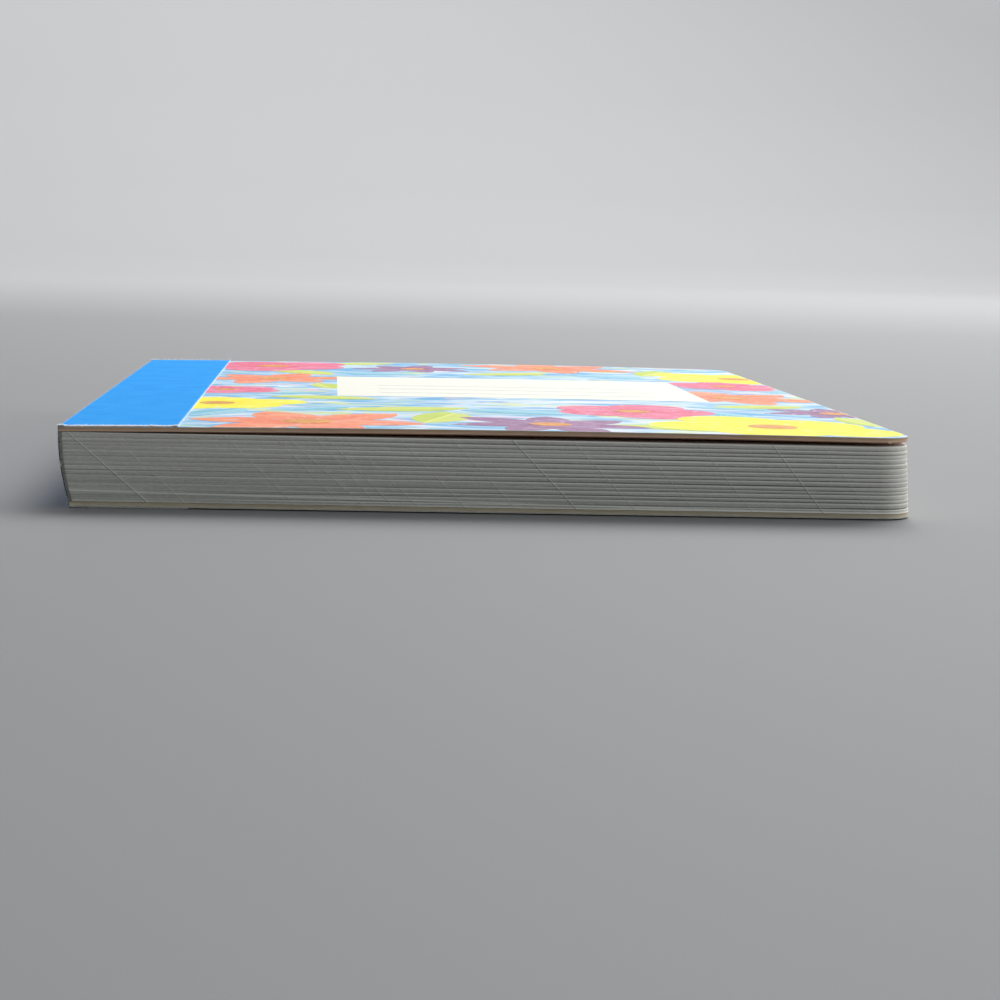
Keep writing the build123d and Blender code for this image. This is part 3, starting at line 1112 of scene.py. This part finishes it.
# %% Lay the paper on both covers
bm = make_board(card_low.x, card_high.x, spine_top, paper_thickness, bowed=True)
dress(make_piece(bm, "front_sheet", [sky_paper, paper_core]), "front_cover", "cover_paper", "front_paper")
bm = make_board(back_paper_low.x, back_paper_high.x, back_paper_high.z, paper_thickness)
dress(make_piece(bm, "back_sheet", [sky_paper, paper_core]), "back_cover", "cover_paper", "back_paper")

# %% [markdown]
# Ink that knows its flower
#
# A flower looks painted when its colour streaks out from its heart, and a leaf when veins leave its midrib.
# The shader needs to know where on its own flower or leaf it is, so the mesh carries that at its points:
# across and up from the heart, as shares of the flower's radius, or along and across the leaf, as shares of
# its half length. The hearts are read from their own solid, one island of points each.

# %% Find the hearts and the islands
ink_spacing = 6.0 * mm


def ink_mesh(node):
    """The top faces of an ink solid, merged and cut across so that they take the bow smoothly."""
    bm = bmesh.new()
    bm.from_mesh(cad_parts[node].data)
    bmesh.ops.remove_doubles(bm, verts=bm.verts[:], dist=1e-6)
    bm.normal_update()
    bmesh.ops.delete(bm, geom=[f for f in bm.faces if f.normal.z < 0.5], context="FACES")
    bmesh.ops.dissolve_limit(bm, angle_limit=math.radians(2), verts=bm.verts[:], edges=bm.edges[:])
    cut_across(bm, bow_spacing, axis=0)
    cut_across(bm, ink_spacing, axis=1)
    return bm


def islands_of(bm):
    """The points of each separate patch."""
    left, found = set(bm.verts), []
    while left:
        patch, edge = [], [left.pop()]
        while edge:
            v = edge.pop()
            patch.append(v)
            for e in v.link_edges:
                other = e.other_vert(v)
                if other in left:
                    left.remove(other)
                    edge.append(other)
        found.append(patch)
    return found


def middle_of(points):
    """The middle of the box round some points, in plan."""
    xs, ys = [p.x for p in points], [p.y for p in points]
    return Vector(((min(xs) + max(xs)) / 2, (min(ys) + max(ys)) / 2))


hearts_bm = ink_mesh("blossom_hearts")
hearts = [middle_of([v.co for v in patch]) for patch in islands_of(hearts_bm)]
hearts_bm.free()
print("hearts", len(hearts))

# %% [markdown]
# Laying on a coat of ink
#
# Each field of colour keeps its solid's outline. Its top faces are cut into short spans, set onto the
# smooth bow, and given a thickness again. A first coat carries the label, flowers and leaves, and a second
# the hearts and the label's rules. A coat is drawn thinner than its solid, which had to be thick enough to
# check, so that it has no visible rim.

# %% Lay one field of ink
drawn_ink = 0.35 * ink_thickness


def lay_ink(node, finish, slot, coat=1, form="flower"):
    """A field of ink on the bowed paper, with each patch's own place on its points."""
    bm = ink_mesh(node)
    on_print = bm.verts.layers.float_vector.new("on_print")
    for patch in islands_of(bm):
        points = [v.co.to_2d() for v in patch]
        centre = middle_of(points)
        if form == "flower":
            centre = min(hearts, key=lambda heart: min((p - heart).length for p in points))
        far = max(points, key=lambda p: (p - centre).length)
        size = (far - centre).length
        axis = (far - centre).normalized() if form == "leaf" else Vector((1, 0))
        luck = noise.cell(Vector((centre.x, centre.y, 0)) / mm)
        for v in patch:
            off = (v.co.to_2d() - centre) / size
            v[on_print] = (off.dot(axis), off.dot(Vector((-axis.y, axis.x))), luck)
    top = spine_top + coat * drawn_ink
    for v in bm.verts:
        v.co.z = top + bow(v.co.x)
    thicken(bm, drawn_ink)
    dress(make_piece(bm, node + "_ink", [finish]), "front_cover", slot, node)


print("coat", round(drawn_ink / mm, 3), "mm, and its solid", round(ink_thickness / mm, 3), "mm")

# %% [markdown]
# Finishes of the inks
#
# All the inks share one satin surface, because the whole cover was varnished in one pass. Under the worn
# line at the edges the white core of the paper shows.

# %% Start an ink
ink_core = (238, 236, 228)


def satin_ink(name):
    """A material for printed ink."""
    material, tree, shader = new_finish(name, print_roughness, print_specular)
    varnish(tree, shader)
    return material, tree, shader


print("the inks' roughness is", print_roughness)

# %% [markdown]
# A blossom's ink is darker near the heart and in streaks that run outwards, and lighter at the rim and in
# blotches. A dry brush has left thin gaps in it.


# %% Mix the ink of the blossoms
def blossom_ink(name, deep, full, pale):
    """Ink that streaks out from the heart, from a deep tone through the full one to a pale rim."""
    material, tree, shader = satin_ink(name)
    across, up, luck = split(tree, attribute(tree, "on_print")["Vector"])
    flat = add(tree, "CombineXYZ", {"X": across, "Y": up}).outputs[0]
    distance = add(tree, "VectorMath", {0: flat}, operation="LENGTH").outputs["Value"]
    heading = add(tree, "VectorMath", {0: flat}, operation="NORMALIZE").outputs[0]
    heading_x, heading_y, _ = split(tree, heading)
    along = calc(tree, "MULTIPLY_ADD", luck, 9.0, times(tree, distance, 0.9))
    ray = add(tree, "CombineXYZ", {"X": heading_x, "Y": heading_y, "Z": along}).outputs[0]
    streak = share_of(tree, noise_at(tree, ray, detail=3.0, scale=6.0), 0.45, 0.6)
    inner = share_of(tree, distance, 0.5, 0.15)
    rim = share_of(tree, distance, 0.7, 1.0)
    depth = times(tree, calc(tree, "MAXIMUM", inner, times(tree, streak, 0.7)), 0.85)
    blotch = patches(tree, (0.16, 0.3, 0.3), 0.5, 0.6, detail=4.0, swirl=1.2)
    dry = share_of(tree, noise_at(tree, ray, detail=3.0, scale=8.0), 0.62, 0.68)
    tint = mixed(tree, times(tree, rim, 0.35), full, pale)
    tint = mixed(tree, depth, tint, deep)
    tint = mixed(tree, times(tree, blotch, 0.45), tint, pale)
    tint = mixed(tree, times(tree, dry, 0.55), tint, (240, 244, 248))
    paint(tree, shader, worn(tree, tint, ink_core))
    return material


# Each colour's deep, full and pale tone
blossom_tones = {
    "yellow": ((248, 226, 10), (255, 246, 36), (252, 250, 104)),
    "pink": ((226, 78, 116), (238, 112, 146), (240, 166, 192)),
    "coral": ((240, 112, 78), (250, 146, 106), (252, 184, 146)),
    "plum": ((126, 74, 122), (160, 112, 154), (194, 158, 192)),
}
for colour, tones in blossom_tones.items():
    lay_ink(colour + "_blossoms", blossom_ink(colour + "_petals", *tones), colour + "_ink")

# %% [markdown]
# A leaf's ink is lighter on one side of its midrib, with slanting veins.


# %% Mix the ink of the leaves
def leaf_ink(name, deep, full, pale):
    """Ink with a midrib, slanting veins and one lighter side."""
    material, tree, shader = satin_ink(name)
    along, across, _ = split(tree, attribute(tree, "on_print")["Vector"])
    off = calc(tree, "ABSOLUTE", across)
    veins = calc(tree, "SINE", times(tree, calc(tree, "SUBTRACT", along, off), 26.0))
    vein = times(tree, share_of(tree, veins, 0.6, 1.0), 0.45)
    side = times(tree, share_of(tree, across, -0.02, 0.02), 0.4)
    rib = share_of(tree, off, 0.035, 0.012)
    blotch = patches(tree, (0.35, 0.35, 0.35), 0.35, 0.7, detail=4.0)
    tint = mixed(tree, times(tree, blotch, 0.5), full, deep)
    tint = mixed(tree, side, tint, pale)
    tint = mixed(tree, calc(tree, "MAXIMUM", vein, rib), tint, pale)
    paint(tree, shader, worn(tree, tint, ink_core))
    return material


leaf_tones = {
    "lime": ((172, 194, 56), (202, 218, 84), (228, 236, 134)),
    "aqua": ((84, 168, 204), (126, 198, 220), (186, 226, 238)),
}
for colour, tones in leaf_tones.items():
    lay_ink(colour + "_leaves", leaf_ink(colour + "_blades", *tones), colour + "_ink", form="leaf")

# %% [markdown]
# The hearts, the label and its rules are one plain tone each, with only a soft mottle. The label stays
# blank.


# %% Mix the plain inks
def plain_ink(name, dark, light, stretch):
    """Ink with only a soft mottle."""
    material, tree, shader = satin_ink(name)
    mottle = patches(tree, stretch, 0.3, 0.7, detail=5.0)
    tint = mixed(tree, mottle, dark, light)
    paint(tree, shader, worn(tree, tint, ink_core))
    return material


heart_finish = plain_ink("heart_dots", (206, 118, 60), (246, 186, 88), (1.2, 1.2, 1.2))
lay_ink("blossom_hearts", heart_finish, "heart_ink", coat=2)
label_finish = plain_ink("label_face", (242, 241, 228), (246, 245, 233), (0.4, 0.4, 0.4))
lay_ink("label", label_finish, "label_white")
rule_finish = plain_ink("label_lines", (224, 227, 226), (234, 235, 232), (2, 2, 2))
lay_ink("label_rules", rule_finish, "rule_ink", coat=2)

# %% [markdown]
# The floor and the light
#
# The photograph has soft light from above and behind, a little from the right, so the cover is bright and
# the tail edge lies in shade. One large light does that, a weak one on the right lights the rounded corner,
# and a dim sky fills the shade. The floor is plain and pale, and sweeps up into a wall with a light of its
# own.

# %% Set the stage
floor_finish, tree, shader = new_finish("floor_finish", 0.7, specular=0.2)
shader.inputs["Base Color"].default_value = (0.28, 0.28, 0.285, 1.0)
floor_size, floor_rows = 4.0, 60
sweep_start, sweep_radius, wall_height = 1.1, 0.5, 2.2
bm = bmesh.new()
bmesh.ops.create_grid(bm, x_segments=1, y_segments=floor_rows, size=floor_size)
for v in bm.verts:
    run = v.co.y - sweep_start
    turn = min(max(run / sweep_radius, 0.0), math.pi / 2)
    if run > 0:
        straight = max(0.0, run - sweep_radius * math.pi / 2)
        rise = min(wall_height, sweep_radius * (1 - math.cos(turn)) + straight)
        v.co = (v.co.x, sweep_start + sweep_radius * math.sin(turn), rise)
floor = make_piece(bm, "floor", [floor_finish], smooth_angle=60)

world = bpy.data.worlds.new("dim_sky")
bpy.context.scene.world = world
world.use_nodes = True
sky_light = world.node_tree.nodes["Background"].inputs
sky_light["Color"].default_value = (0.92, 0.96, 1.0, 1.0)
sky_light["Strength"].default_value = 0.3


def add_light(name, place, width, depth, power, aim=(0, 0, 0)):
    """A soft rectangular light that looks at a point."""
    data = bpy.data.lights.new(name, "AREA")
    data.shape = "RECTANGLE"
    data.size, data.size_y, data.energy = width, depth, power
    light = bpy.data.objects.new(name, data)
    bpy.context.scene.collection.objects.link(light)
    turn = (Vector(aim) - Vector(place)).to_track_quat("-Z", "Y")
    light.matrix_world = Matrix.Translation(place) @ turn.to_matrix().to_4x4()


add_light("window", (0.45, 0.75, 0.85), 1.0, 0.7, 16.5)
add_light("side_fill", (1.2, 0.1, 0.35), 0.5, 0.5, 5.0)
add_light("wall_wash", (0, 0.7, 1.3), 2.0, 0.4, 48.0, aim=(0, 2.0, 1.0))
print("lights placed")
